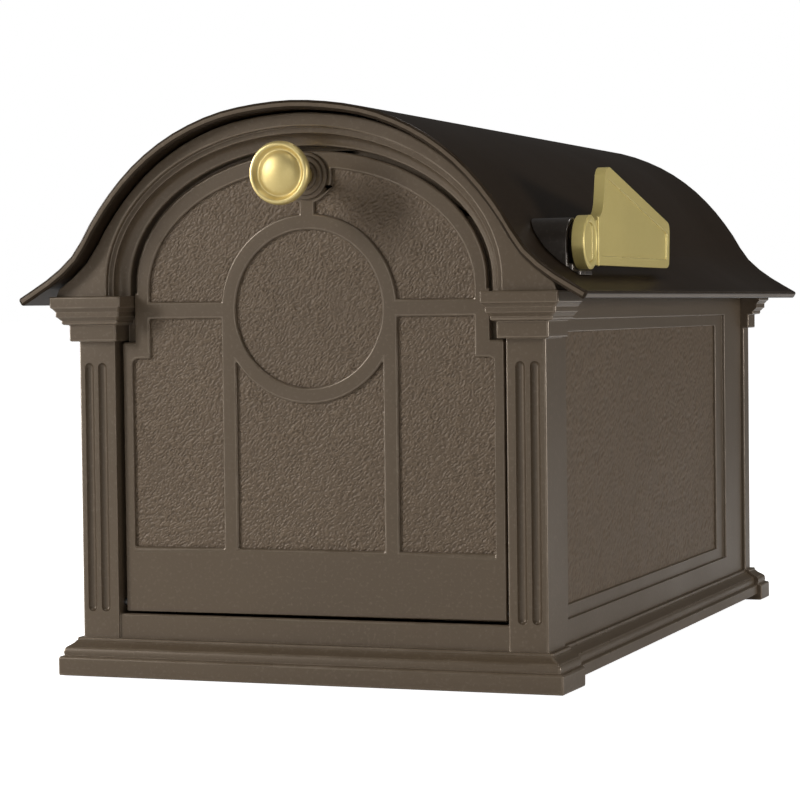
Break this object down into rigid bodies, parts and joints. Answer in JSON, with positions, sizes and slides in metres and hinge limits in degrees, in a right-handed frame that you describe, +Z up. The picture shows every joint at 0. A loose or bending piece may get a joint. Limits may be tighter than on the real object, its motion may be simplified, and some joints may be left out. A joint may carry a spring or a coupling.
{
  "type": "post-mount residential mailbox",
  "caption": "Post-mount mailbox with an arched flared roof, pilastered front, drop-down panelled door with a pull knob, and a side signal flag on a pivot.",
  "frame": {"origin": "centre of the box's footprint, on the underside of the mounting plate", "axes": "+Z up; the door faces -Y, so +Y runs along the roof towards the back; +X is the flag's side"},
  "size_m": [0.3378, 0.545, 0.3224],
  "materials": {
    "body_paint": "satin bronze paint on cast aluminium",
    "roof_paint": "smooth satin dark bronze paint on cast aluminium",
    "polished_brass": "polished",
    "gold_paint": "pale gold paint on cast aluminium",
    "zinc_steel": "zinc plated",
    "rubber": "matte",
    "catch_plastic": "matte",
    "magnet": "sintered ferrite"
  },
  "bodies": {
    "housing": {"front_frame": "body_paint", "rear_frame": "body_paint", "rear_panel": "body_paint", "side_wall_right": "body_paint", "side_wall_left": "body_paint", "floor_pan": "body_paint", "mounting_plate": "zinc_steel", "roof_shell": "roof_paint", "hinge_pin_right": "zinc_steel", "hinge_pin_left": "zinc_steel", "catch_housing": "catch_plastic", "catch_magnet": "magnet", "door_bumper_right": "rubber", "door_bumper_left": "rubber", "flag_bracket": "roof_paint", "flag_spacer": "roof_paint", "flag_bolt": "zinc_steel", "flag_nut": "zinc_steel", "front_screw_lower_right": "zinc_steel", "front_screw_lower_left": "zinc_steel", "front_screw_upper_right": "zinc_steel", "front_screw_upper_left": "zinc_steel", "rear_screw_lower_right": "zinc_steel", "rear_screw_lower_left": "zinc_steel", "rear_screw_upper_right": "zinc_steel", "rear_screw_upper_left": "zinc_steel", "floor_screw_front_right": "zinc_steel", "floor_screw_front_left": "zinc_steel", "floor_screw_rear_right": "zinc_steel", "floor_screw_rear_left": "zinc_steel", "roof_screw_front_right": "zinc_steel", "roof_screw_front_left": "zinc_steel", "roof_screw_rear_right": "zinc_steel", "roof_screw_rear_left": "zinc_steel", "plate_screw_front_right": "zinc_steel", "plate_screw_front_left": "zinc_steel", "plate_screw_rear_right": "zinc_steel", "plate_screw_rear_left": "zinc_steel", "panel_screw_upper_right": "zinc_steel", "panel_screw_upper_left": "zinc_steel", "panel_screw_lower_right": "zinc_steel", "panel_screw_lower_left": "zinc_steel"},
    "door_leaf": {"door": "body_paint", "knob": "polished_brass", "knob_rosette": "body_paint", "knob_screw": "zinc_steel", "strike_plate": "zinc_steel"},
    "signal_flag": {"flag": "gold_paint"}
  },
  "joints": [
    {"name": "door_hinge", "type": "hinge", "parent": "housing", "child": "door_leaf", "pos_m": [0, -0.2308, 0.041], "axis": [1, 0, 0], "range_deg": [0, 85]},
    {"name": "flag_pivot", "type": "hinge", "parent": "housing", "child": "signal_flag", "pos_m": [0.1535, -0.2126, 0.2425], "axis": [1, 0, 0], "range_deg": [0, 90]}
  ]
}
